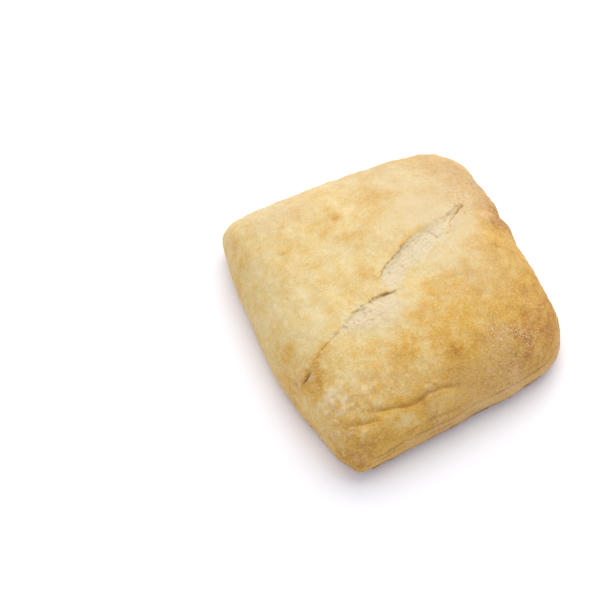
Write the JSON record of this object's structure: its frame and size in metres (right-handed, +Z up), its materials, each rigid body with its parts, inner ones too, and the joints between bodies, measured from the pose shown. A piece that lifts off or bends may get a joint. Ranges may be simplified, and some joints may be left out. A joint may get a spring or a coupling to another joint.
{
  "type": "ciabatta roll",
  "caption": "Flat, nearly square bread roll with rounded shoulders, a flat base and one slash torn open across its top crust.",
  "frame": {"origin": "middle of the space that the roll fills, at the level of its base", "axes": "+Z up through the crust; +Y from the front edge, which has the fold along its shoulder, to the back edge; +X from the long left side, where the slash ends, to the right side, which has the small knob"},
  "size_m": [0.1102, 0.119, 0.0388],
  "materials": {
    "baked_crust": "matte baked wheat crust, pale gold to light brown, dusted with flour"
  },
  "bodies": {
    "root": {"ciabatta_roll": "baked_crust"}
  },
  "joints": []
}
